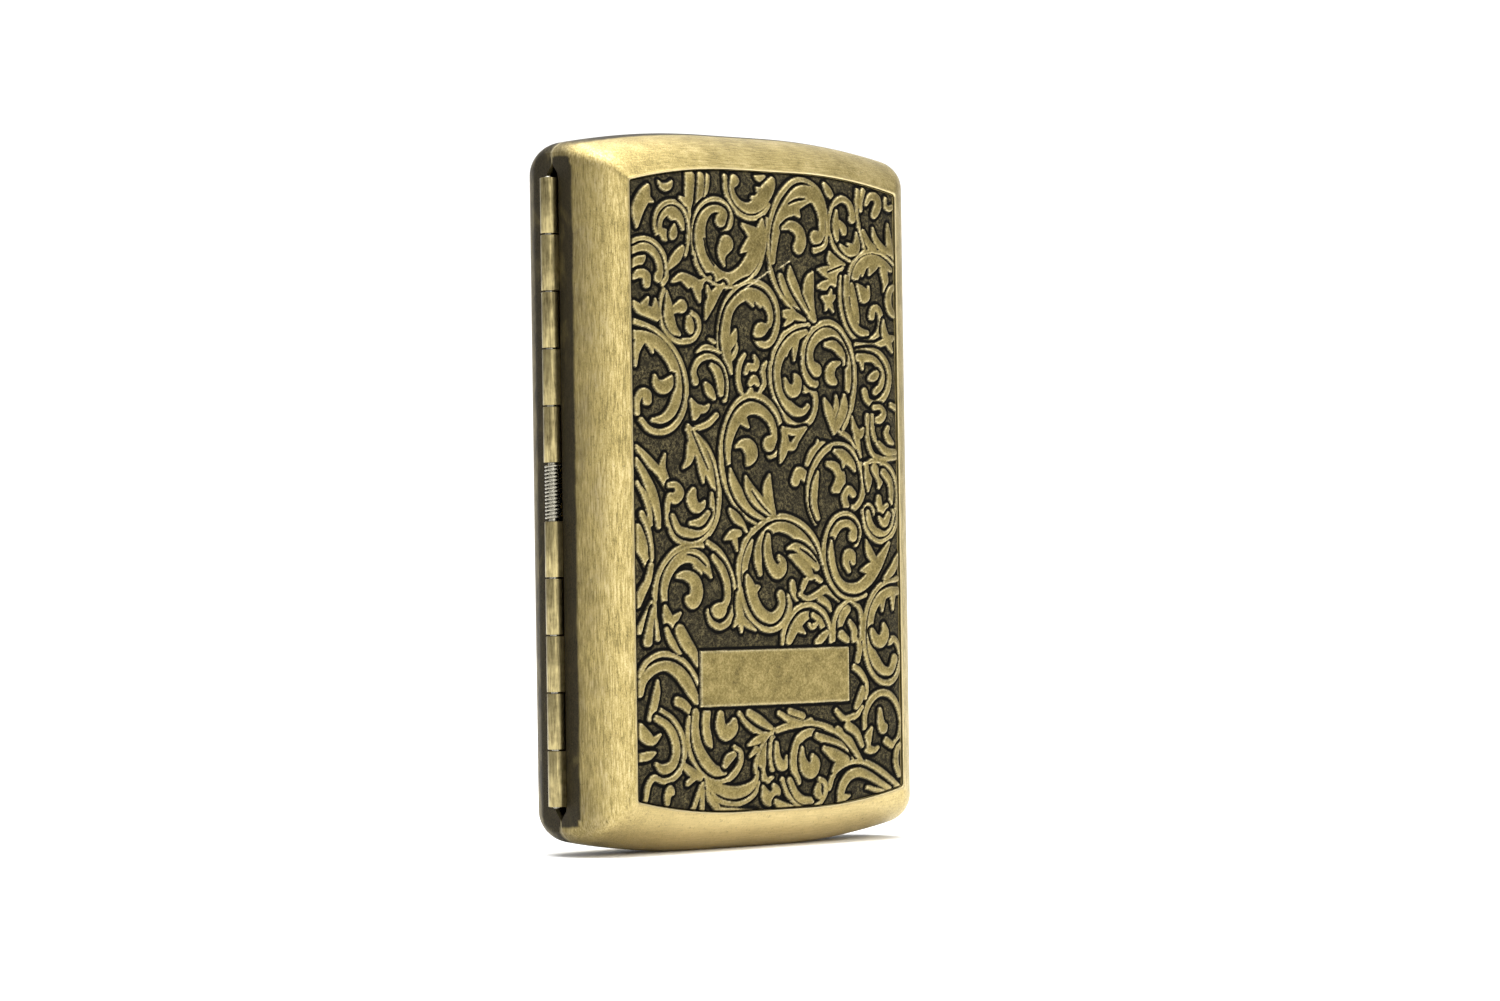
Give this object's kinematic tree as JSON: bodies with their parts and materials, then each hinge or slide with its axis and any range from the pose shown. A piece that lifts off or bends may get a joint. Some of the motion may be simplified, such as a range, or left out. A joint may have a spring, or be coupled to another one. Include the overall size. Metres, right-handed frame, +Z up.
{
  "type": "needle case",
  "caption": "Slim pocket needle case: two domed brass shells on a sprung knuckle hinge, push-button latch, felt-lined trays, magnet strip and a hinged retaining bail.",
  "frame": {"origin": "middle of the flat at the bottom end, on the surface the case stands on, midway across its width and thickness", "axes": "+Z up along the case's length, +X across its width away from the hinge and towards the push button, -Y towards the lid's decorated face"},
  "size_m": [0.0644, 0.0212, 0.0994],
  "materials": {
    "antique_brass": "brushed antique brass with dark patina in the recesses",
    "leaf_brass": "satin",
    "tray_brass": "polished, lightly lacquered",
    "steel": "drawn wire",
    "spring_steel": "plated spring wire",
    "felt": "wool felt",
    "magnet": "matt flexible magnet sheet"
  },
  "bodies": {
    "back": {"back_shell": "antique_brass", "back_hinge_leaf": "leaf_brass", "hinge_pin": "steel", "hinge_spring": "spring_steel", "needle_tray": "tray_brass", "needle_felt": "felt", "needle_magnet": "magnet", "bail_lugs": "leaf_brass", "bail_pins": "steel", "bail_springs": "spring_steel", "latch_posts": "leaf_brass", "latch_springs": "spring_steel"},
    "lid": {"front_shell": "antique_brass", "front_hinge_leaf": "leaf_brass", "lid_tray": "tray_brass", "lid_felt": "felt", "packet_bars": "tray_brass", "latch_keeper": "leaf_brass"},
    "bail": {"retaining_bail": "tray_brass"},
    "latch": {"latch_plate": "leaf_brass", "latch_button": "antique_brass"}
  },
  "joints": [
    {"name": "lid_hinge", "type": "hinge", "parent": "back", "child": "lid", "pos_m": [-0.031, 0, 0.0496], "axis": [0, 0, -1], "range_deg": [0, 175], "stiffness_Nm_per_rad": 0.0006, "springref_deg": 108.86},
    {"name": "bail_hinge", "type": "hinge", "parent": "back", "child": "bail", "pos_m": [-0.0203, 0.0052, 0.0496], "axis": [0, 0, -1], "range_deg": [0, 80]},
    {"name": "button_slide", "type": "slide", "parent": "back", "child": "latch", "axis": [-1, 0, 0], "range_m": [0, 0.0009], "stiffness_N_per_m": 800, "springref_m": -0.0008, "deforming": ["latch_springs"]}
  ]
}
